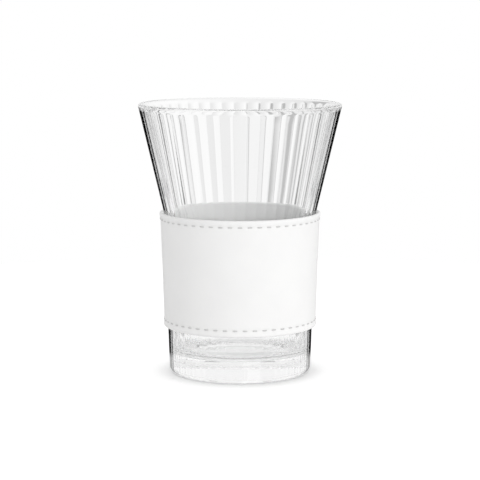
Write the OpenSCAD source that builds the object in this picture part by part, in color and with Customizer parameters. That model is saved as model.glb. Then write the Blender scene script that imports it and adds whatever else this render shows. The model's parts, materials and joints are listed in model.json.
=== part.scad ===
// Ribbed latte glass with a sewn leather sleeve.
// Millimetres, +Z up, origin at the centre of the foot's resting plane. The sleeve's joint faces +Y.

/* [Glass] */
// Overall height of the glass
glass_h = 120; // [100:1:140]
// Outer diameter at the rim
rim_d = 90; // [80:1:100]
// Thickness of the rim, which is a full round
rim_t = 2.2; // [1.6:0.1:3]
// Height of the shoulder, where the flare starts
shoulder_h = 72; // [62:0.5:80]
// Outer diameter at the shoulder
shoulder_d = 67.8; // [64:0.2:72]
// Outer diameter of the tapered lower wall, carried down to the resting plane
base_d = 63; // [58:0.2:64]
// Thickness of the wall
wall_t = 2.7; // [2:0.1:3.5]
// Thickness of the solid glass under the drink
base_t = 9; // [6:0.5:12]
// Radius round the foot
foot_r = 3; // [2:0.5:5]
// Radius where the inside wall meets the inside floor
floor_r = 6; // [3:0.5:10]
// Diameter of the hollow under the foot
punt_d = 46; // [30:1:52]
// Depth of the hollow under the foot
punt_depth = 1; // [0.5:0.1:2]

/* [Ribs] */
// Number of upright ribs round the glass, one of them at the front
rib_count = 48; // [36:1:60]
// Depth of the round groove between two ribs
groove_depth = 0.25; // [0.15:0.05:0.5]
// Width of a rib's crest between its two grooves
rib_w = 2.2; // [1.6:0.1:2.8]
// Height of the plain band above the ribs
rim_band = 2.2; // [1.6:0.1:6]

/* [Sleeve] */
// Height of the sleeve along its slope
sleeve_h = 51; // [40:1:60]
// Thickness of the leather
leather_t = 0.7; // [0.6:0.1:1.2]
// Thickness of the lining, and of the pared leather turned in at the hems
lining_t = 0.6; // [0.6:0.1:1]
// How far a hem's folded edge stands out past the face
hem_swell = 0.4; // [0.2:0.1:0.6]
// Width of the leather turned in at a hem
hem_w = 5.5; // [4.5:0.5:8]
// Gap between the sleeve and the glass
fit_gap = 0.2; // [0.15:0.05:0.4]
// Gap at the butted ends of the leather and of the lining
joint_gap = 0.25; // [0.1:0.05:0.5]
// Gap between a glued edge or face of the lining and the leather
glue_gap = 0.03; // [0.02:0.01:0.05]

/* [Stitching] */
// Diameter of the sewing thread
thread_d = 0.45; // [0.35:0.05:0.5]
// Length of a stitch on the outside
stitch_len = 2.5; // [2:0.1:3]
// Distance from one stitch to the next
stitch_pitch = 4.3; // [3.8:0.1:5]
// Distance of a hem's stitches from its edge
hem_inset = 3; // [2.4:0.1:3.5]
// Distance of the joint's stitches from the butted ends
seam_inset = 3; // [2:0.1:4]
// Free space between the thread and its groove or needle hole
thread_gap = 0.03; // [0.02:0.01:0.05]

/* [Hidden] */
$fn = 96;
// How far a cutter runs past what it cuts
past = 2;

// Where the front rib and the sleeve's joint lie, and how far the lining's joint is turned from the sleeve's
front_angle = -90;
joint_angle = 90;
lining_joint_turn = 180;

// The lower wall's slope from the vertical, and its radius at a height
shoulder_r = shoulder_d / 2;
base_r = base_d / 2;
taper = atan((shoulder_r - base_r) / shoulder_h);
function wall_r(z) = base_r + z * tan(taper);

// The full round of the rim, and the flare's slopes outside and inside, tangent to it
rim_r = rim_t / 2;
rim_x = rim_d / 2 - rim_r;
rim_z = glass_h - rim_r;
rim_rise = rim_z - shoulder_h;
flare_out = atan2(rim_x - shoulder_r, rim_rise) + asin(rim_r / norm([rim_x - shoulder_r, rim_rise]));
function flare_r(z) = shoulder_r + (z - shoulder_h) * tan(flare_out);
inner_x = shoulder_r - wall_t;
flare_in = atan2(rim_x - inner_x, rim_rise) - asin(rim_r / norm([rim_x - inner_x, rim_rise]));

// The rounds at the foot and at the inside floor, tangent to the lower wall
foot_x = wall_r(foot_r) - foot_r / cos(taper);
floor_x = wall_r(base_t + floor_r) - wall_t - floor_r / cos(taper);

// Where the grooves end, and how far the cutters below and above the shoulder run into each other
groove_end_z = glass_h - rim_band;
groove_lap = 0.2;

// A groove's width and cutter radius where the wall has radius r
function groove_w(r) = 2 * PI * r / rib_count - rib_w;
function groove_rise(r) = groove_depth - pow(groove_w(r), 2) / (8 * r);
function cutter_r(r) = (pow(groove_w(r) / 2, 2) + pow(groove_rise(r), 2)) / (2 * groove_rise(r));

// The sleeve's section: u runs out from its inside face and w up from its lower edge
sleeve_t = lining_t + leather_t;
hem_t = sleeve_t + hem_swell;
sleeve_z = shoulder_h - sleeve_h * cos(taper);
sleeve_r = wall_r(sleeve_z) + fit_gap;
function at_r(u, w) = sleeve_r + u * cos(taper) + w * sin(taper);
function at_z(u, w) = sleeve_z - u * sin(taper) + w * cos(taper);

// The thread's middle outside and inside the sleeve, its groove and its needle holes
thread_r = thread_d / 2;
groove_r = thread_r + thread_gap;
thread_out = sleeve_t;
thread_in = groove_r;
leg_r = thread_r * 0.8;
hole_r = leg_r + thread_gap;
hem_rows = [hem_inset, sleeve_h - hem_inset];
seam_turns = [-1, 1] * seam_inset / at_r(sleeve_t, sleeve_h / 2) * 180 / PI;
seam_span = sleeve_h - 2 * hem_w - stitch_pitch;
seam_stitches = floor(seam_span / stitch_pitch) + 1;
function hem_stitches(w) = round(2 * PI * at_r(thread_out, w) / stitch_pitch);

// Right half of a 2D shape, for turning about the Y axis
module right_half(size) {
    intersection() {
        children();
        translate([0, -size]) square([size, 2 * size]);
    }
}

// Thread with round ends, lying along Z about its middle
module thread_bar(length) {
    straight = (length - thread_d) / 2;
    rotate_extrude($fn = 24) right_half(length) {
        translate([-thread_r, -straight]) square([thread_d, 2 * straight]);
        for (y = [-straight, straight]) translate([0, y]) circle(thread_r, $fn = 24);
    }
}

// Half outline of the glass before its grooves are cut
module glass_outline() {
    foot_up = foot_r * (1 - sin(taper));
    polygon([[0, 0], [foot_x, 0], [foot_x + foot_r * cos(taper), foot_up],
             [shoulder_r, shoulder_h], [rim_x + rim_r * cos(flare_out), rim_z - rim_r * sin(flare_out)],
             [rim_x, rim_z], [0, rim_z]]);
    translate([foot_x, foot_r]) circle(foot_r);
    translate([rim_x, rim_z]) circle(rim_r);
}

// Half outline of the space for the drink
module drink_outline() {
    floor_up = base_t + floor_r * (1 - sin(taper));
    polygon([[0, base_t], [floor_x, base_t], [floor_x + floor_r * cos(taper), floor_up],
             [inner_x, shoulder_h], [rim_x - rim_r * cos(flare_in), rim_z + rim_r * sin(flare_in)],
             [rim_x - rim_r * cos(flare_in), glass_h + past], [0, glass_h + past]]);
    translate([floor_x, base_t + floor_r]) circle(floor_r);
}

// Cutter whose deepest line runs up the wall from radius r0 at height z0 to radius r1 at height z1
module groove_cutter(r0, z0, r1, z1) {
    run = norm([r1 - r0, z1 - z0]);
    slope = atan2(r1 - r0, z1 - z0);
    spread = asin((cutter_r(r1) - cutter_r(r0)) / run);
    translate([r0 - groove_depth, 0, z0])
        rotate([0, slope + spread, 0])
            translate([cutter_r(r0), 0, 0])
                cylinder(h = run * cos(spread), r1 = cutter_r(r0), r2 = cutter_r(r1));
}

module glass() {
    color([0.93, 0.96, 0.96, 0.4]) difference() {
        rotate_extrude() difference() {
            right_half(2 * glass_h) glass_outline();
            drink_outline();
        }
        translate([0, 0, -past]) cylinder(h = punt_depth + past, d = punt_d);
        for (i = [0 : rib_count - 1]) rotate((i + 0.5) * 360 / rib_count + front_angle) {
            groove_cutter(wall_r(-past), -past, wall_r(shoulder_h + groove_lap), shoulder_h + groove_lap);
            groove_cutter(flare_r(shoulder_h - groove_lap), shoulder_h - groove_lap,
                          flare_r(groove_end_z), groove_end_z);
        }
    }
}

// Places a shape drawn in the sleeve's section
module in_section() {
    translate([sleeve_r, sleeve_z]) rotate(-taper) children();
}

// Grooves that the hem stitches lie in, outside and inside
module hem_grooves() {
    for (w = hem_rows) {
        translate([thread_out - groove_r, w - groove_r]) square([past, 2 * groove_r]);
        translate([thread_in + groove_r - past, w - groove_r]) square([past, 2 * groove_r]);
    }
}

// Folded edge of the leather, drawn at the lower edge
module hem_outline() {
    translate([hem_t / 2, hem_t / 2]) circle(hem_t / 2, $fn = 48);
    polygon([[0, hem_t / 2], [hem_t, hem_t / 2], [sleeve_t, hem_inset], [sleeve_t, hem_w], [0, hem_w]]);
}

module cover_outline() {
    difference() {
        union() {
            translate([lining_t, hem_t / 2]) square([leather_t, sleeve_h - hem_t]);
            hem_outline();
            translate([0, sleeve_h]) mirror([0, 1]) hem_outline();
        }
        hem_grooves();
    }
}

// Puts children at a place in the sleeve's section, turned round the glass, with +X out of the sleeve
module on_sleeve(turn, u, w) {
    rotate(turn) translate([at_r(u, w), 0, at_z(u, w)]) rotate([0, taper, 0]) children();
}

// A rod straight through the sleeve, from the inside thread to the outside thread
module through_sleeve(r) {
    rotate([0, 90, 0]) cylinder(h = thread_out - thread_in, r = r, $fn = 24);
}

// Turn of each stitch's middle, and from there to its ends
function stitch_turn(w, i) = joint_angle + i * 360 / hem_stitches(w);
function half_turn(w) = (stitch_len - thread_d) / 2 / at_r(thread_out, w) * 180 / PI;

module hem_needle_holes(w) {
    for (i = [0 : hem_stitches(w) - 1], side = [-1, 1])
        on_sleeve(stitch_turn(w, i) + side * half_turn(w), thread_in, w) through_sleeve(hole_r);
}

// One running thread round the sleeve: a stitch outside, then one inside, joined through the leather
module hem_thread(w) {
    half_step = 180 / hem_stitches(w);
    inside_len = 2 * (half_step - half_turn(w)) * PI / 180 * at_r(thread_in, w) + thread_d;
    color("gainsboro") for (i = [0 : hem_stitches(w) - 1]) {
        on_sleeve(stitch_turn(w, i), thread_out, w) rotate([90, 0, 0]) thread_bar(stitch_len);
        on_sleeve(stitch_turn(w, i) + half_step, thread_in, w) rotate([90, 0, 0]) thread_bar(inside_len);
        for (side = [-1, 1])
            on_sleeve(stitch_turn(w, i) + side * half_turn(w), thread_in, w) through_sleeve(leg_r);
    }
}

// Heights of the joint's stitches up the sleeve
function seam_w(i) = sleeve_h / 2 + (i - (seam_stitches - 1) / 2) * stitch_pitch;

module seam_needle_holes(turn) {
    for (i = [0 : seam_stitches - 1], side = [-1, 1])
        on_sleeve(turn, thread_in, seam_w(i) + side * (stitch_len - thread_d) / 2) through_sleeve(hole_r);
}

// Groove up the sleeve that the joint's stitches lie in
module seam_groove(turn, u) {
    length = (seam_stitches - 1) * stitch_pitch + stitch_len;
    on_sleeve(turn, u, (sleeve_h - length) / 2 - thread_gap)
        cylinder(h = length + 2 * thread_gap, r = groove_r, $fn = 24);
}

// One running thread up one side of the joint
module seam_thread(turn) {
    inside_len = stitch_pitch - stitch_len + 2 * thread_d;
    color("gainsboro") for (i = [0 : seam_stitches - 1]) {
        on_sleeve(turn, thread_out, seam_w(i)) thread_bar(stitch_len);
        for (side = [-1, 1])
            on_sleeve(turn, thread_in, seam_w(i) + side * (stitch_len - thread_d) / 2) through_sleeve(leg_r);
        if (i > 0) on_sleeve(turn, thread_in, seam_w(i) - stitch_pitch / 2) thread_bar(inside_len);
    }
}

// Slit through the sleeve where two ends meet
module joint_slit(turn) {
    rotate(turn) translate([0, -joint_gap / 2, sleeve_z - past])
        cube([rim_d, joint_gap, sleeve_h + 2 * past]);
}

module sleeve_cover() {
    color("white") difference() {
        rotate_extrude() in_section() cover_outline();
        joint_slit(joint_angle);
        for (w = hem_rows) hem_needle_holes(w);
        for (turn = seam_turns) {
            seam_needle_holes(joint_angle + turn);
            seam_groove(joint_angle + turn, thread_out);
        }
    }
}

module sleeve_lining() {
    edge = hem_w + glue_gap;
    color("whitesmoke") difference() {
        rotate_extrude() in_section() translate([0, edge]) square([lining_t - glue_gap, sleeve_h - 2 * edge]);
        joint_slit(joint_angle + lining_joint_turn);
        for (turn = seam_turns) {
            seam_needle_holes(joint_angle + turn);
            seam_groove(joint_angle + turn, thread_in);
        }
    }
}

glass();
sleeve_cover();
sleeve_lining();
hem_thread(hem_rows[1]);  // top_hem_thread
hem_thread(hem_rows[0]);  // bottom_hem_thread
seam_thread(joint_angle + seam_turns[1]);  // left_seam_thread
seam_thread(joint_angle + seam_turns[0]);  // right_seam_thread
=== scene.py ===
"""Looks of the ribbed latte glass and its sewn leather sleeve."""
import json
import math

import bmesh
import bpy
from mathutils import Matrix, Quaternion, Vector

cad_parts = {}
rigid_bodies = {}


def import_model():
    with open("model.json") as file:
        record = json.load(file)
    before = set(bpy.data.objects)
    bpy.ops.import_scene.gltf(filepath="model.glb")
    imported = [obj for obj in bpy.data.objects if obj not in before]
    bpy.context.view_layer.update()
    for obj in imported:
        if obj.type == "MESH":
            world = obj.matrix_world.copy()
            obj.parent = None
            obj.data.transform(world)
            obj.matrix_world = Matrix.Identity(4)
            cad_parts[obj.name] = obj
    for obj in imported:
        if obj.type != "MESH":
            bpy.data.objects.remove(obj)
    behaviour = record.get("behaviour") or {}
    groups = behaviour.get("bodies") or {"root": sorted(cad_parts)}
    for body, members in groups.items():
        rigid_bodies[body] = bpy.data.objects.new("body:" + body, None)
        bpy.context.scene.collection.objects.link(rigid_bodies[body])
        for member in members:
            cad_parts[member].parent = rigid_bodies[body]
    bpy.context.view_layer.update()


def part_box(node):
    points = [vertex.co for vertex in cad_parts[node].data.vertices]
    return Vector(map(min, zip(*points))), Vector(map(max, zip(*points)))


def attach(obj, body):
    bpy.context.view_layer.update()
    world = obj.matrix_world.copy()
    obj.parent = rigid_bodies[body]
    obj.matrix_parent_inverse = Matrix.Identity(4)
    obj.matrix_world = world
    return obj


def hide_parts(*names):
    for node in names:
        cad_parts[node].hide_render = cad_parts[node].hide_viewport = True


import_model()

MM = 0.001
WELD = 0.001 * MM
LEAST_TURN = 1e-6
AXES = {"X": Vector((1, 0, 0)), "Z": Vector((0, 0, 1))}

# Glass: its height and rim from the frame, the rest in the part's own sizes
glass_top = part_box("glass")[1]
HEIGHT = glass_top[2]
RIM_RADIUS = glass_top[0]
RIM_ROUND = 1.1 * MM
SHOULDER_Z = 72 * MM
SHOULDER_RADIUS = 33.9 * MM
SHOULDER_REACH = 1 * MM
SHOULDER_SWELL = 0.03 * MM
BASE_RADIUS = 31.5 * MM
WALL = 2.7 * MM
BASE = 9 * MM
FOOT_ROUND = 3 * MM
FLOOR_ROUND = 6 * MM
HOLLOW_RADIUS = 23 * MM
HOLLOW_DEPTH = 1 * MM
HOLLOW_ROUND = 0.8 * MM
HOLLOW_LIP_RUN = 0.3 * MM
HOLLOW_LIP_RISE = 0.1 * MM

# Ribs: a sector runs from one rib's crest to the next, with a groove between them
RIBS = 48
RIB_STEPS = 16
SECTOR = 2 * math.pi / RIBS
GROOVE_DEPTH = 0.14 * MM
GROOVE_END = 1.4 * MM
SHARE_DIGITS = 4
RIM_BAND = 2.2 * MM
FOOT_FADE_RATE = 1.3
FOOT_FADE_START = 0.15

# Sleeve: u runs out from its inside face, w up from its lower edge
SLEEVE_LENGTH = 51 * MM
FIT_GAP = 0.2 * MM
LINING = 0.6 * MM
LEATHER = 0.7 * MM
GLUE = 0.03 * MM
HEM_WIDTH = 5.5 * MM
HEM_SWELL = 0.4 * MM
HEM_FALL = [(0.04 * MM, 1.35 * MM), (0.15 * MM, 1.9 * MM), (0.3 * MM, 2.4 * MM)]
HEM_RIPPLE = [(0.06 * MM, 3.7 * MM), (0.04 * MM, 4.4 * MM)]
JOINT_GAP = 0.05 * MM
JOINT_ANGLE = math.radians(90)
LINING_JOINT_ANGLE = math.radians(-90)
COVER_STEPS = 624
LINING_STEPS = 312

# Stitches, and how they pull the leather in
STITCH_PITCH = 4.3 * MM
STITCH_LENGTH = 2.5 * MM
HEM_INSET = 3 * MM
SEAM_INSET = 3 * MM
THREAD_RADIUS = 0.26 * MM
THREAD_SIDES = 8
STITCH_BED = 0.02 * MM
BED_HALF_WIDTH = 0.15 * MM
INSIDE_REST = THREAD_RADIUS * 1.05
HOLE_RUN = 0.25 * MM
BEND_RUN = 0.2 * MM
BEND_SINK = 0.1 * MM
CROWN_RUN = 0.55 * MM
CROWN_RISE = 0.1 * MM
CROWN_TOP = 0.14 * MM
SEWING_ANGLE = math.radians(90)
STITCH_PULL = 0.16 * MM
PULL_REACH = 0.9 * MM
PULL_BETWEEN = 0.35
LEAST_PULL = 0.01
JOINT_REACH = 0.3 * MM
BACK_OF_LEATHER = 0.2 * MM

TAPER = math.atan((SHOULDER_RADIUS - BASE_RADIUS) / SHOULDER_Z)
SLEEVE_THICKNESS = LINING + LEATHER
HEM = SLEEVE_THICKNESS + HEM_SWELL
SLEEVE_Z = SHOULDER_Z - SLEEVE_LENGTH * math.cos(TAPER)


def wall_radius(z):
    """Outside radius of the lower wall at a height."""
    return BASE_RADIUS + z * math.tan(TAPER)


SLEEVE_RADIUS = wall_radius(SLEEVE_Z) + FIT_GAP


def on_section(u, w):
    """Radius and height of a place in the sleeve's section."""
    radius = SLEEVE_RADIUS + u * math.cos(TAPER) + w * math.sin(TAPER)
    height = SLEEVE_Z - u * math.sin(TAPER) + w * math.cos(TAPER)
    return radius, height


def place(angle, radius, height):
    """Point at an angle round the glass."""
    return Vector((radius * math.cos(angle), radius * math.sin(angle), height))


def arc(centre_r, centre_z, radius, start, end, steps):
    """Radius and height of points on an arc, its angles in degrees."""
    points = []
    for step in range(steps + 1):
        angle = math.radians(start + (end - start) * step / steps)
        points.append((centre_r + radius * math.cos(angle), centre_z + radius * math.sin(angle)))
    return points


def between(start, end, steps):
    """Evenly spaced values after start, up to and with end."""
    return [start + (end - start) * step / steps for step in range(1, steps + 1)]


# Modelling steps shared by the pieces

def clear_selection():
    bpy.ops.object.select_all(action="DESELECT")


def start_editing(name):
    """Names the new primitive, puts its place into its mesh and opens it for editing."""
    piece = bpy.context.object
    piece.name = name
    piece.data.name = name
    bpy.ops.object.transform_apply(location=True, rotation=True, scale=True)
    bpy.ops.object.mode_set(mode="EDIT")
    bpy.ops.mesh.select_mode(type="VERT")
    bpy.ops.mesh.select_all(action="SELECT")
    return piece


def draw_outline(name, points):
    """New piece in edit mode: a chain of edges, drawn by extruding one vertex from point to point."""
    clear_selection()
    bpy.ops.mesh.primitive_plane_add(size=MM, location=points[0])
    piece = start_editing(name)
    bpy.ops.mesh.merge(type="CENTER")
    for here, there in zip(points, points[1:]):
        bpy.ops.mesh.extrude_vertices_move(TRANSFORM_OT_translate={"value": there - here})
    return piece


def close_outline(piece):
    """Joins the chain's last vertex to its first."""
    bm = bmesh.from_edit_mesh(piece.data)
    for vert in bm.verts:
        vert.select_set(len(vert.link_edges) == 1)
    bmesh.update_edit_mesh(piece.data)
    bpy.ops.mesh.edge_face_add()


def spin(steps, angle, copies=False):
    """Spins all that is there about the glass's axis, as a skin or as copies."""
    bpy.ops.mesh.select_all(action="SELECT")
    bpy.ops.mesh.spin(steps=steps, angle=angle, dupli=copies, center=(0, 0, 0), axis=(0, 0, 1))


def swing(angle, axis, centre):
    """Turns what is selected about an axis. With no window the operator turns the other way."""
    if abs(angle) > LEAST_TURN:
        bpy.ops.transform.rotate(value=-angle, orient_axis=axis, center_override=centre)


def weld_and_face_out():
    bpy.ops.mesh.select_all(action="SELECT")
    bpy.ops.mesh.remove_doubles(threshold=WELD)
    bpy.ops.mesh.normals_make_consistent(inside=False)


def close_ends():
    """Fills each open end with one face."""
    bpy.ops.mesh.select_all(action="SELECT")
    bpy.ops.mesh.fill_holes(sides=0)


def finish_piece(piece, body, node, material, smooth_angle):
    """Leaves edit mode, smooths the piece and ties it to the part."""
    bpy.ops.object.mode_set(mode="OBJECT")
    clear_selection()
    piece.select_set(True)
    bpy.context.view_layer.objects.active = piece
    bpy.ops.object.shade_smooth_by_angle(angle=math.radians(smooth_angle))
    piece.data.materials.clear()
    piece.data.materials.append(material)
    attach(piece, body)
    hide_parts(node)


# Node helpers

def new_material(name):
    material = bpy.data.materials.new(name)
    material.use_nodes = True
    return material, material.node_tree, material.node_tree.nodes["Principled BSDF"]


def set_inputs(tree, node, values):
    """Sets a node's inputs, or links them where the value is another node's output."""
    for key, value in values.items():
        if isinstance(value, bpy.types.NodeSocket):
            tree.links.new(value, node.inputs[key])
        else:
            node.inputs[key].default_value = value


def add(tree, kind, values=None, **settings):
    """New node with its settings and inputs."""
    node = tree.nodes.new(kind)
    for name, value in settings.items():
        setattr(node, name, value)
    set_inputs(tree, node, values or {})
    return node


def calc(tree, operation, *terms):
    """Output of a Math node."""
    return add(tree, "ShaderNodeMath", dict(enumerate(terms)), operation=operation).outputs[0]


def spread(tree, value, low, high, to_low, to_high):
    """Output of a clamped Map Range node."""
    values = {"Value": value, "From Min": low, "From Max": high, "To Min": to_low, "To Max": to_high}
    return add(tree, "ShaderNodeMapRange", values).outputs["Result"]


def blend(tree, share, first, second):
    """Colour between two colours."""
    return add(tree, "ShaderNodeMix", {0: share, 6: first, 7: second}, data_type="RGBA").outputs[2]


def bumped(tree, relief, strength, depth):
    """Normal of a surface with a fine relief."""
    values = {"Strength": strength, "Distance": depth, "Height": relief}
    return add(tree, "ShaderNodeBump", values).outputs["Normal"]


def ripple(tree, along, pitch):
    """Wave between -1 and 1 along a measure in metres."""
    return calc(tree, "SINE", calc(tree, "MULTIPLY", along, 2 * math.pi / pitch))


def unrolled(tree):
    """Object coordinates laid flat: the way round the sleeve, in metres, and the height."""
    coords = add(tree, "ShaderNodeTexCoord")
    axes = add(tree, "ShaderNodeSeparateXYZ", {0: coords.outputs["Object"]})
    angle = calc(tree, "ARCTAN2", axes.outputs["Y"], axes.outputs["X"])
    return calc(tree, "MULTIPLY", angle, SLEEVE_RADIUS), axes.outputs["Z"]


def from_axis(tree, coords):
    """Level way from the glass's axis to a place."""
    values = {0: coords.outputs["Object"], 1: (1.0, 1.0, 0.0)}
    return add(tree, "ShaderNodeVectorMath", values, operation="MULTIPLY").outputs["Vector"]


def outwardness(tree, coords):
    """Reach of a face from the axis along its own normal: high on outer walls, below 0 on inner ones."""
    values = {0: from_axis(tree, coords), 1: coords.outputs["Normal"]}
    return add(tree, "ShaderNodeVectorMath", values, operation="DOT_PRODUCT").outputs["Value"]


# Glass and its painted shade: the outer wall darkens to the camera where a rib or the whole wall turns
# away, in place of dark surroundings mirrored at its edges
GLASS_IOR = 1.52
LAMP_TINT = (0.97, 0.98, 0.98, 1.0)
RIB_EDGE_SHADE = (0.66, 0.76)
WALL_EDGE_SHADE = (0.70, 0.77)
OUTER_WALL = (20 * MM, 28 * MM)
EDGE_SHADE_TOP = (HEIGHT - 3 * MM, HEIGHT - 2 * MM)

# Leather, lining and thread finishes
LEATHER_DEEP = (0.80, 0.798, 0.795, 1.0)
LEATHER_PALE = (0.85, 0.848, 0.845, 1.0)
# Painted light: paler colour for the leather's faces turned to the glass
LEATHER_INSIDE_PAINTED_LIGHT = (0.96, 0.96, 0.955, 1.0)
INSIDE_FACE_LIGHT_REACH = (-20 * MM, 10 * MM)
CREASE_RANGE = (0.3, 0.7)
LEATHER_SHEEN = (0.48, 0.62)
WEAVE_PITCH = 0.45 * MM
WEAVE_DEEP = (0.90, 0.90, 0.895, 1.0)
WEAVE_PALE = (0.95, 0.95, 0.945, 1.0)
THREAD_LAY = 0.42 * MM
THREAD_DEEP = (0.52, 0.52, 0.515, 1.0)
THREAD_PALE = (0.68, 0.68, 0.675, 1.0)


def clear_glass():
    material, tree, shader = new_material("clear_glass")
    coords = add(tree, "ShaderNodeTexCoord")
    path = add(tree, "ShaderNodeLightPath")
    where = coords.outputs["Object"]
    waves = add(tree, "ShaderNodeTexNoise", {"Vector": where, "Scale": 70.0, "Detail": 1.0})
    outward = add(tree, "ShaderNodeVectorMath", {0: from_axis(tree, coords)}, operation="NORMALIZE")
    rib = add(tree, "ShaderNodeLayerWeight", {"Blend": 0.5})
    wall = add(tree, "ShaderNodeLayerWeight", {"Blend": 0.5, "Normal": outward.outputs["Vector"]})
    rib_edge_shade = spread(tree, rib.outputs["Facing"], *RIB_EDGE_SHADE, 0.0, 1.0)
    wall_edge_shade = spread(tree, wall.outputs["Facing"], *WALL_EDGE_SHADE, 0.0, 1.0)
    height = add(tree, "ShaderNodeSeparateXYZ", {0: where}).outputs["Z"]
    edge = calc(tree, "MAXIMUM", rib_edge_shade, wall_edge_shade)
    edge = calc(tree, "MULTIPLY", edge, spread(tree, height, *EDGE_SHADE_TOP, 1.0, 0.0))
    edge = calc(tree, "MULTIPLY", edge, spread(tree, outwardness(tree, coords), *OUTER_WALL, 0.0, 1.0))
    # Painted shade: darker base colour on the outer wall's edges, for camera rays only
    painted_edge_shade = calc(tree, "MULTIPLY", edge, path.outputs["Is Camera Ray"])
    set_inputs(tree, shader, {
        "Base Color": calc(tree, "SUBTRACT", 1.0, painted_edge_shade),
        "Normal": bumped(tree, waves.outputs["Fac"], strength=0.03, depth=0.2 * MM),
        "Roughness": 0.0,
        "IOR": GLASS_IOR,
        "Transmission Weight": 1.0,
    })
    lamp_light = add(tree, "ShaderNodeBsdfTransparent", {"Color": LAMP_TINT})
    surfaces = {0: path.outputs["Is Shadow Ray"], 1: shader.outputs[0], 2: lamp_light.outputs[0]}
    mix = add(tree, "ShaderNodeMixShader", surfaces)
    tree.links.new(mix.outputs[0], tree.nodes["Material Output"].inputs["Surface"])
    return material


def white_leather():
    """Pebbled and creased leather, paler on the faces turned to the glass, a painted light that lifts the
    dim inside of the sleeve.
    """
    material, tree, shader = new_material("white_leather")
    coords = add(tree, "ShaderNodeTexCoord")
    where = coords.outputs["Object"]
    pebbles = add(tree, "ShaderNodeTexVoronoi", {"Vector": where, "Scale": 1500.0}, feature="SMOOTH_F1")
    creases = add(tree, "ShaderNodeTexNoise", {"Vector": where, "Scale": 420.0, "Detail": 6.0})
    patches = add(tree, "ShaderNodeTexNoise", {"Vector": where, "Scale": 60.0, "Detail": 3.0})
    grain = calc(tree, "ADD", pebbles.outputs["Distance"], creases.outputs["Fac"])
    tone = blend(tree, patches.outputs["Fac"], LEATHER_DEEP, LEATHER_PALE)
    # Painted light: faces turned to the glass take the paler colour
    inside = spread(tree, outwardness(tree, coords), *INSIDE_FACE_LIGHT_REACH, 1.0, 0.0)
    set_inputs(tree, shader, {
        "Base Color": blend(tree, inside, tone, LEATHER_INSIDE_PAINTED_LIGHT),
        "Normal": bumped(tree, grain, strength=0.25, depth=0.05 * MM),
        "Roughness": spread(tree, creases.outputs["Fac"], *CREASE_RANGE, *LEATHER_SHEEN),
    })
    return material


def woven_lining():
    material, tree, shader = new_material("woven_lining")
    around, height = unrolled(tree)
    weave = calc(tree, "MULTIPLY", ripple(tree, around, WEAVE_PITCH), ripple(tree, height, WEAVE_PITCH))
    set_inputs(tree, shader, {
        "Base Color": blend(tree, spread(tree, weave, -1.0, 1.0, 0.0, 1.0), WEAVE_DEEP, WEAVE_PALE),
        "Normal": bumped(tree, weave, strength=0.4, depth=0.06 * MM),
        "Roughness": 0.85,
    })
    return material


def grey_thread():
    material, tree, shader = new_material("grey_thread")
    twist = ripple(tree, calc(tree, "ADD", *unrolled(tree)), THREAD_LAY)
    set_inputs(tree, shader, {
        "Base Color": blend(tree, spread(tree, twist, -1.0, 1.0, 0.0, 1.0), THREAD_DEEP, THREAD_PALE),
        "Normal": bumped(tree, twist, strength=0.5, depth=0.06 * MM),
        "Roughness": 0.7,
    })
    return material


# Glass: each row of its outline is a radius, a height and a share of the groove's depth

def plain(points):
    """Rows with no groove."""
    return [(radius, height, 0.0) for radius, height in points]


def foot_share(height):
    """Share of the groove's depth where it starts on the rounded edge of the foot."""
    return min(1.0, max(0.0, height / FOOT_ROUND * FOOT_FADE_RATE - FOOT_FADE_START))


def lean(start_radius, side):
    """Lean of a straight wall from the shoulder to the rim's round, outside (1) or inside (-1)."""
    run = RIM_RADIUS - RIM_ROUND - start_radius
    rise = HEIGHT - RIM_ROUND - SHOULDER_Z
    return math.atan2(run, rise) + side * math.asin(RIM_ROUND / math.hypot(run, rise))


def lower_rows():
    """From the middle of the hollow under the foot, out and up the lower wall."""
    rows = plain([(0.0, HOLLOW_DEPTH), (HOLLOW_RADIUS / 2, HOLLOW_DEPTH)])
    round_r = HOLLOW_RADIUS - HOLLOW_ROUND
    rows += plain(arc(round_r, HOLLOW_DEPTH - HOLLOW_ROUND, HOLLOW_ROUND, 90, 5, steps=5))
    rows += plain([(HOLLOW_RADIUS, HOLLOW_LIP_RISE), (HOLLOW_RADIUS + HOLLOW_LIP_RUN, 0.0)])
    foot_r = wall_radius(FOOT_ROUND) - FOOT_ROUND / math.cos(TAPER)
    foot = arc(foot_r, FOOT_ROUND, FOOT_ROUND, -90, -math.degrees(TAPER), steps=10)
    rows += [(radius, height, foot_share(height)) for radius, height in foot]
    for height in between(foot[-1][1], SHOULDER_Z - SHOULDER_REACH, steps=12):
        rows.append((wall_radius(height), height, 1.0))
    return rows


def flare_rows(flare):
    """From the shoulder up the flare to where the grooves have run out."""
    def at(height, share):
        return SHOULDER_RADIUS + (height - SHOULDER_Z) * math.tan(flare), height, share

    start_z = SHOULDER_Z + SHOULDER_REACH
    fade_z = HEIGHT - RIM_BAND - GROOVE_END
    rows = [(SHOULDER_RADIUS + SHOULDER_SWELL, SHOULDER_Z, 1.0), at(start_z, 1.0)]
    rows += [at(height, 1.0) for height in between(start_z, fade_z, steps=10)]
    for climb in between(0, 1, steps=5):
        rows.append(at(fade_z + GROOVE_END * climb, math.sqrt(1 - climb * climb)))
    return rows


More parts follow.
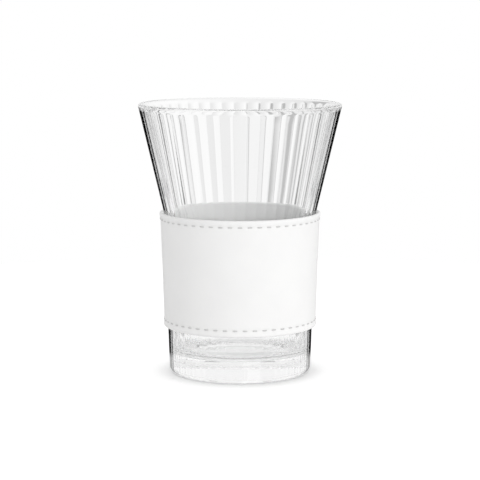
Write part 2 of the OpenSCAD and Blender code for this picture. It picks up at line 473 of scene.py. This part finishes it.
def inner_rows(flare):
    """Over the rim and down inside to the middle of the cup's floor."""
    inner_r = SHOULDER_RADIUS - WALL
    outside = -math.degrees(flare)
    inside = 180 - math.degrees(lean(inner_r, -1))
    points = arc(RIM_RADIUS - RIM_ROUND, HEIGHT - RIM_ROUND, RIM_ROUND, outside, inside, steps=14)
    top_r, top_z = points[-1]
    for share in between(0, 1, steps=8):
        points.append((top_r + (inner_r - top_r) * share, top_z + (SHOULDER_Z - top_z) * share))
    floor_r = wall_radius(BASE + FLOOR_ROUND) - WALL - FLOOR_ROUND / math.cos(TAPER)
    floor_round = arc(floor_r, BASE + FLOOR_ROUND, FLOOR_ROUND, -math.degrees(TAPER), -90, steps=10)
    for height in between(SHOULDER_Z, floor_round[0][1], steps=9)[:-1]:
        points.append((wall_radius(height) - WALL, height))
    points += floor_round
    points += [(floor_r * share, BASE) for share in (0.6, 0.3, 0.0)]
    return plain(points)


def groove_shape(column):
    """Share of the groove's depth at a column: none on the ribs' crests, all halfway between them."""
    return (1 - abs(2 * column / RIB_STEPS - 1)) ** 2


def press_grooves(piece, rows):
    """Draws the columns between two crests in towards the axis, less where the groove runs out."""
    bm = bmesh.from_edit_mesh(piece.data)
    groups = {}
    for vert in bm.verts:
        radius = math.hypot(vert.co.x, vert.co.y)
        nearest = min(rows, key=lambda row: abs(row[0] - radius) + abs(row[1] - vert.co.z))
        column = round(abs(math.atan2(vert.co.y, vert.co.x)) / SECTOR * RIB_STEPS)
        share = round(nearest[2] * groove_shape(column), SHARE_DIGITS)
        if share > 0:
            groups.setdefault(share, []).append(vert.index)
    for share, members in groups.items():
        bpy.ops.mesh.select_all(action="DESELECT")
        bm = bmesh.from_edit_mesh(piece.data)
        bm.verts.ensure_lookup_table()
        for index in members:
            bm.verts[index].select_set(True)
        bmesh.update_edit_mesh(piece.data)
        draw_in = 1 - share * GROOVE_DEPTH / SHOULDER_RADIUS
        bpy.ops.transform.resize(value=(draw_in, draw_in, 1.0), center_override=(0, 0, 0))


def make_glass():
    """One rib's sector is spun and grooved, then copied round."""
    flare = lean(SHOULDER_RADIUS, 1)
    rows = lower_rows() + flare_rows(flare) + inner_rows(flare)
    piece = draw_outline("ribbed_glass", [place(0, radius, height) for radius, height, _ in rows])
    spin(RIB_STEPS, SECTOR)
    press_grooves(piece, rows)
    spin(RIBS - 1, SECTOR * (RIBS - 1), copies=True)
    weld_and_face_out()
    finish_piece(piece, "glass", "glass", clear_glass(), smooth_angle=40)


# Sleeve

def hem_outline():
    """Section of the folded lower edge, from inside, round the edge, to the face above the stitches."""
    bead = HEM / 2
    bed = SLEEVE_THICKNESS - STITCH_BED
    inside = [(0.0, HEM_WIDTH), (0.0, HEM_WIDTH * 0.6)]
    fold = arc(bead, bead, bead, 180, 360, steps=12)
    fall = [(HEM - drop, w) for drop, w in HEM_FALL]
    stitch_bed = [(bed, HEM_INSET - BED_HALF_WIDTH), (bed, HEM_INSET + BED_HALF_WIDTH)]
    above = [(SLEEVE_THICKNESS + swell, w) for swell, w in HEM_RIPPLE]
    return inside + fold + fall + stitch_bed + above


def cover_outline():
    """The leather's whole section: both hems, the face between them and the back behind the lining."""
    low = hem_outline()
    high = [(u, SLEEVE_LENGTH - w) for u, w in reversed(low)]
    face = [(SLEEVE_THICKNESS, w) for w in between(low[-1][1], high[0][1], steps=16)[:-1]]
    back = [(LINING, SLEEVE_LENGTH - HEM_WIDTH), (LINING, HEM_WIDTH)]
    return low + face + high + back


def lining_outline():
    edge = HEM_WIDTH + GLUE
    levels = [edge] + between(edge, SLEEVE_LENGTH - edge, steps=12)
    return [(0.0, w) for w in levels] + [(LINING - GLUE, w) for w in reversed(levels)]


def wrap(name, outline, joint_angle, steps):
    """New piece in edit mode: a strip of the sleeve, bent round the glass from joint to joint."""
    gap = JOINT_GAP / SLEEVE_RADIUS
    start = joint_angle + gap / 2
    piece = draw_outline(name, [place(start, *on_section(u, w)) for u, w in outline])
    close_outline(piece)
    spin(steps, 2 * math.pi - gap)
    close_ends()
    weld_and_face_out()
    return piece


def stitches_round(w):
    """How many stitches a hem takes."""
    return round(2 * math.pi * on_section(SLEEVE_THICKNESS, w)[0] / STITCH_PITCH)


def pull_weight(point):
    """Share of the pull at a place: along both hem rows, most under each stitch, and at the joint."""
    radius = math.hypot(point.x, point.y)
    angle = math.atan2(point.y, point.x) - JOINT_ANGLE
    w = (point.z - SLEEVE_Z) / math.cos(TAPER)
    if radius < on_section(LINING, w)[0] + BACK_OF_LEATHER:
        return 0.0
    weight = math.exp(-(angle * radius / JOINT_REACH) ** 2)
    for row in (HEM_INSET, SLEEVE_LENGTH - HEM_INSET):
        near = math.exp(-((w - row) / PULL_REACH) ** 2)
        at_stitch = 0.5 + 0.5 * math.cos(angle * stitches_round(row))
        weight += near * (PULL_BETWEEN + (1 - PULL_BETWEEN) * at_stitch)
    return min(1.0, weight)


def pull_at_stitches(piece):
    """Sinks the leather where the thread and the joint pull it in."""
    group = piece.vertex_groups.new(name="stitch_pull")
    for vert in piece.data.vertices:
        weight = pull_weight(vert.co)
        if weight > LEAST_PULL:
            group.add([vert.index], weight, "REPLACE")
    pull = piece.modifiers.new("stitch_pull", "DISPLACE")
    pull.vertex_group = group.name
    pull.mid_level = 0.0
    pull.strength = -STITCH_PULL
    bpy.ops.object.modifier_apply(modifier=pull.name)


def make_cover():
    piece = wrap("leather_cover", cover_outline(), JOINT_ANGLE, COVER_STEPS)
    bpy.ops.object.mode_set(mode="OBJECT")
    pull_at_stitches(piece)
    finish_piece(piece, "sleeve", "sleeve_cover", white_leather(), smooth_angle=50)


def make_lining():
    piece = wrap("fabric_lining", lining_outline(), LINING_JOINT_ANGLE, LINING_STEPS)
    finish_piece(piece, "sleeve", "sleeve_lining", woven_lining(), smooth_angle=50)


# Threads

def stitch_path(period):
    """One period of a running stitch, each point a way along its row and a way out of the sleeve."""
    half = STITCH_LENGTH / 2 - THREAD_RADIUS
    outside = SLEEVE_THICKNESS - STITCH_BED
    rise = [
        (-period / 2, INSIDE_REST),
        (-half - HOLE_RUN, INSIDE_REST),
        (-half, SLEEVE_THICKNESS / 2),
        (-half + BEND_RUN, outside - BEND_SINK),
        (-half + CROWN_RUN, outside + CROWN_RISE),
    ]
    fall = [(-along, out) for along, out in reversed(rise)]
    return rise + [(0.0, outside + CROWN_TOP)] + fall


def sew(name, path, heading, axis, roll=0.0):
    """New piece in edit mode: a round thread, drawn by extruding a ring along a path and turning it."""
    clear_selection()
    ways = [(there - here).normalized() for here, there in zip(path, path[1:])]
    facing = ways[0]
    turned = AXES["Z"].rotation_difference(facing) @ Quaternion(AXES["Z"], roll)
    bpy.ops.mesh.primitive_circle_add(vertices=THREAD_SIDES, radius=THREAD_RADIUS, location=path[0],
                                      rotation=turned.to_euler())
    piece = start_editing(name)
    halfway = [(way + after).normalized() for way, after in zip(ways, ways[1:])]
    for here, there, wanted in zip(path, path[1:], halfway + [heading]):
        bpy.ops.mesh.extrude_region_move(TRANSFORM_OT_translate={"value": there - here})
        angle = math.atan2(AXES[axis].dot(facing.cross(wanted)), facing.dot(wanted))
        swing(angle, axis, there)
        facing = wanted
    return piece


def make_hem_thread(name, node, w, material):
    """A running stitch round a hem: one stitch is sewn at the joint, then copied round."""
    count = stitches_round(w)
    period = 2 * math.pi / count
    radius = on_section(SLEEVE_THICKNESS, w)[0]
    path = []
    for along, out in stitch_path(period * radius):
        path.append(place(JOINT_ANGLE + along / radius, *on_section(out, w)))
    heading = place(JOINT_ANGLE + period / 2 + math.pi / 2, 1.0, 0.0)
    piece = sew(name, path, heading, "Z")
    spin(count - 1, period * (count - 1), copies=True)
    weld_and_face_out()
    finish_piece(piece, "sleeve", node, material, smooth_angle=60)


def make_seam_thread(name, node, side, material):
    """A row beside the joint: one stitch is sewn where X lies across it, copied up, and the row turned."""
    count = math.floor((SLEEVE_LENGTH - 2 * HEM_WIDTH - STITCH_PITCH) / STITCH_PITCH) + 1
    first = SLEEVE_LENGTH / 2 - (count - 1) / 2 * STITCH_PITCH
    path = []
    for along, out in stitch_path(STITCH_PITCH):
        path.append(place(SEWING_ANGLE, *on_section(out, first + along)))
    step = place(SEWING_ANGLE, *on_section(0, STITCH_PITCH)) - place(SEWING_ANGLE, *on_section(0, 0))
    beside = side * SEAM_INSET / on_section(SLEEVE_THICKNESS, SLEEVE_LENGTH / 2)[0]
    turn = JOINT_ANGLE + beside - SEWING_ANGLE
    piece = sew(name, path, step.normalized(), "X", roll=-turn)
    for _ in range(count - 1):
        bpy.ops.mesh.select_linked()
        bpy.ops.mesh.duplicate_move(TRANSFORM_OT_translate={"value": step})
    weld_and_face_out()
    close_ends()
    weld_and_face_out()
    swing(turn, "Z", (0, 0, 0))
    finish_piece(piece, "sleeve", node, material, smooth_angle=60)


# Studio: camera, floor, panels and one lamp
CAMERA_DISTANCE = 0.80
CAMERA_ELEVATION = math.radians(7.8)
CAMERA_TARGET = Vector((0.0, 0.0, 59.0 * MM))
CAMERA_NEAR = 0.01
FOCAL_PIXELS = 1795
PICTURE_PIXELS = 480
SENSOR_WIDTH = 36

# The floor's own glow lifts it to white in the picture, with painted light under the foot and a painted
# ring of shade at the foot
FLOOR_RADIUS = 0.35
FLOOR_TONE = (0.97, 0.97, 0.97, 1.0)
WHITE = (1.0, 1.0, 1.0, 1.0)
PAINTED_SHADE_START = (24 * MM, 30 * MM)
PAINTED_SHADE_END = (31 * MM, 38 * MM)
GLOW_UNDER_FOOT = 0.35
GLOW_IN_PAINTED_SHADE = 0.06
GLOW_BEYOND = 0.21
FLOOR_OPENS = (48 * MM, 60 * MM)

# Panels that the glass bends into view, alike in each quarter turn: degrees from its middle, and level
PANEL_PITCH = 90.0
PANEL_LEVELS = [
    (-45, 0.76), (-42, 1.0), (-38.5, 0.9), (-37.5, 0.3), (-35, 0.3), (-34, 0.84), (-27, 1.0), (-20, 0.8),
    (-18.5, 0.06), (-12.5, 0.06), (-10.5, 0.92), (-3, 1.0), (-1, 0.93), (1, 0.84), (3, 0.8), (3.7, 0.44),
    (4.9, 0.47), (5.6, 0.87), (9, 0.82), (11, 0.55), (14, 0.06), (18.5, 0.06), (20, 0.8), (27, 1.0),
    (34, 0.84), (35, 0.3), (37.5, 0.3), (38.5, 0.9), (42, 0.84), (45, 0.76),
]
PANELS_TOP = (-0.09, -0.05)
PANELS_FOOT = (-0.35, -0.25)
SKY_LEVEL = 0.9
SOFT_LEVEL = 0.9
KEY_PLACE = Vector((1.35, -1.5, 0.5))
KEY_SIZE = 0.8
KEY_POWER = 12.5


def make_camera():
    data = bpy.data.cameras.new("photo_camera")
    camera = bpy.data.objects.new("photo_camera", data)
    bpy.context.scene.collection.objects.link(camera)
    toward = Vector((0, math.cos(CAMERA_ELEVATION), -math.sin(CAMERA_ELEVATION)))
    camera.location = CAMERA_TARGET - CAMERA_DISTANCE * toward
    camera.rotation_euler = toward.to_track_quat("-Z", "Y").to_euler()
    data.sensor_width = SENSOR_WIDTH
    data.lens = SENSOR_WIDTH * FOCAL_PIXELS / PICTURE_PIXELS
    data.clip_start = CAMERA_NEAR
    bpy.context.scene.camera = camera


def pale_floor():
    """Matt white and glowing, with painted light under the foot and a painted ring of shade round it, but
    open away from the foot to rays that the glass mirrors or bends.
    """
    material, tree, shader = new_material("pale_floor")
    coords = add(tree, "ShaderNodeTexCoord")
    path = add(tree, "ShaderNodeLightPath")
    length = add(tree, "ShaderNodeVectorMath", {0: coords.outputs["Object"]}, operation="LENGTH")
    reach = length.outputs["Value"]
    # Painted light under the foot, and a painted ring of shade round it
    glow = calc(tree, "MAXIMUM", spread(tree, reach, *PAINTED_SHADE_START, GLOW_UNDER_FOOT, GLOW_IN_PAINTED_SHADE),
                spread(tree, reach, *PAINTED_SHADE_END, GLOW_IN_PAINTED_SHADE, GLOW_BEYOND))
    seen = calc(tree, "MAXIMUM", path.outputs["Is Camera Ray"], path.outputs["Is Glossy Ray"])
    seen = calc(tree, "MAXIMUM", seen, path.outputs["Is Transmission Ray"])
    set_inputs(tree, shader, {
        "Base Color": FLOOR_TONE,
        "Roughness": 1.0,
        "Specular IOR Level": 0.0,
        "Emission Color": WHITE,
        "Emission Strength": calc(tree, "MULTIPLY", seen, glow),
    })
    far = spread(tree, reach, *FLOOR_OPENS, 0.0, 1.0)
    opened = calc(tree, "MULTIPLY", path.outputs["Is Glossy Ray"], far)
    gone = add(tree, "ShaderNodeBsdfTransparent")
    mix = add(tree, "ShaderNodeMixShader", {0: opened, 1: shader.outputs[0], 2: gone.outputs[0]})
    tree.links.new(mix.outputs[0], tree.nodes["Material Output"].inputs["Surface"])
    return material


def make_floor():
    clear_selection()
    bpy.ops.mesh.primitive_circle_add(vertices=128, radius=FLOOR_RADIUS, fill_type="NGON",
                                      location=(0, 0, 0))
    floor = bpy.context.object
    floor.name = "pale_floor"
    floor.data.materials.append(pale_floor())


def panel_level(tree, axes):
    """Level of the panels in a direction, before the sky and the ground are added."""
    angle = calc(tree, "ARCTAN2", axes.outputs["X"], axes.outputs["Y"])
    degrees = calc(tree, "MULTIPLY", angle, 180 / math.pi)
    turns = calc(tree, "ADD", calc(tree, "DIVIDE", degrees, PANEL_PITCH), 0.5)
    panel = add(tree, "ShaderNodeValToRGB", {"Fac": calc(tree, "FRACT", turns)})
    stops = panel.color_ramp.elements
    while len(stops) < len(PANEL_LEVELS):
        stops.new(0.5)
    for stop, (angle_on_panel, level) in zip(stops, PANEL_LEVELS):
        stop.position = angle_on_panel / PANEL_PITCH + 0.5
        stop.color = (level, level, level, 1.0)
    return panel.outputs["Color"]


def make_world():
    """White to the camera, panels through the glass, a low dark band mirrored in it, soft elsewhere."""
    world = bpy.data.worlds.new("studio")
    bpy.context.scene.world = world
    world.use_nodes = True
    tree = world.node_tree
    tree.nodes.clear()
    coords = add(tree, "ShaderNodeTexCoord")
    path = add(tree, "ShaderNodeLightPath")
    axes = add(tree, "ShaderNodeSeparateXYZ", {0: coords.outputs["Generated"]})
    sky = spread(tree, axes.outputs["Z"], *PANELS_TOP, 0.0, SKY_LEVEL)
    ground = spread(tree, axes.outputs["Z"], *PANELS_FOOT, SKY_LEVEL, 0.0)
    panels = calc(tree, "MULTIPLY", panel_level(tree, axes), path.outputs["Is Transmission Ray"])
    panels = calc(tree, "MAXIMUM", panels, calc(tree, "MAXIMUM", sky, ground))
    by_glass = calc(tree, "MAXIMUM", path.outputs["Is Glossy Ray"], path.outputs["Is Transmission Ray"])
    straight = calc(tree, "LESS_THAN", path.outputs["Diffuse Depth"], 0.5)
    by_glass = calc(tree, "MULTIPLY", by_glass, straight)
    soft = add(tree, "ShaderNodeBackground", {"Color": WHITE, "Strength": SOFT_LEVEL})
    bands = add(tree, "ShaderNodeBackground", {"Color": WHITE, "Strength": panels})
    white = add(tree, "ShaderNodeBackground", {"Color": WHITE, "Strength": 1.0})
    light = add(tree, "ShaderNodeMixShader", {0: by_glass, 1: soft.outputs[0], 2: bands.outputs[0]})
    backdrop = {0: path.outputs["Is Camera Ray"], 1: light.outputs[0], 2: white.outputs[0]}
    outer = add(tree, "ShaderNodeMixShader", backdrop)
    add(tree, "ShaderNodeOutputWorld", {"Surface": outer.outputs[0]})


def make_key_lamp():
    """Soft lamp from the front right, which the glass neither mirrors nor bends."""
    data = bpy.data.lights.new("key_lamp", "AREA")
    data.energy = KEY_POWER
    data.size = KEY_SIZE
    data.use_shadow = False
    lamp = bpy.data.objects.new("key_lamp", data)
    bpy.context.scene.collection.objects.link(lamp)
    lamp.location = KEY_PLACE
    lamp.rotation_euler = (CAMERA_TARGET - KEY_PLACE).to_track_quat("-Z", "Y").to_euler()
    lamp.visible_camera = False
    lamp.visible_glossy = False
    lamp.visible_transmission = False


def set_picture():
    """Plain colours, and bounces enough for light guided along the glass wall."""
    scene = bpy.context.scene
    scene.view_settings.view_transform = "Standard"
    scene.cycles.diffuse_bounces = 12
    scene.cycles.glossy_bounces = 96
    scene.cycles.transmission_bounces = 64
    scene.cycles.max_bounces = 128


make_camera()
make_glass()
make_cover()
make_lining()
thread = grey_thread()
make_hem_thread("top_hem_stitches", "top_hem_thread", SLEEVE_LENGTH - HEM_INSET, thread)
make_hem_thread("bottom_hem_stitches", "bottom_hem_thread", HEM_INSET, thread)
make_seam_thread("left_seam_stitches", "left_seam_thread", 1, thread)
make_seam_thread("right_seam_stitches", "right_seam_thread", -1, thread)
make_floor()
make_world()
make_key_lamp()
set_picture()
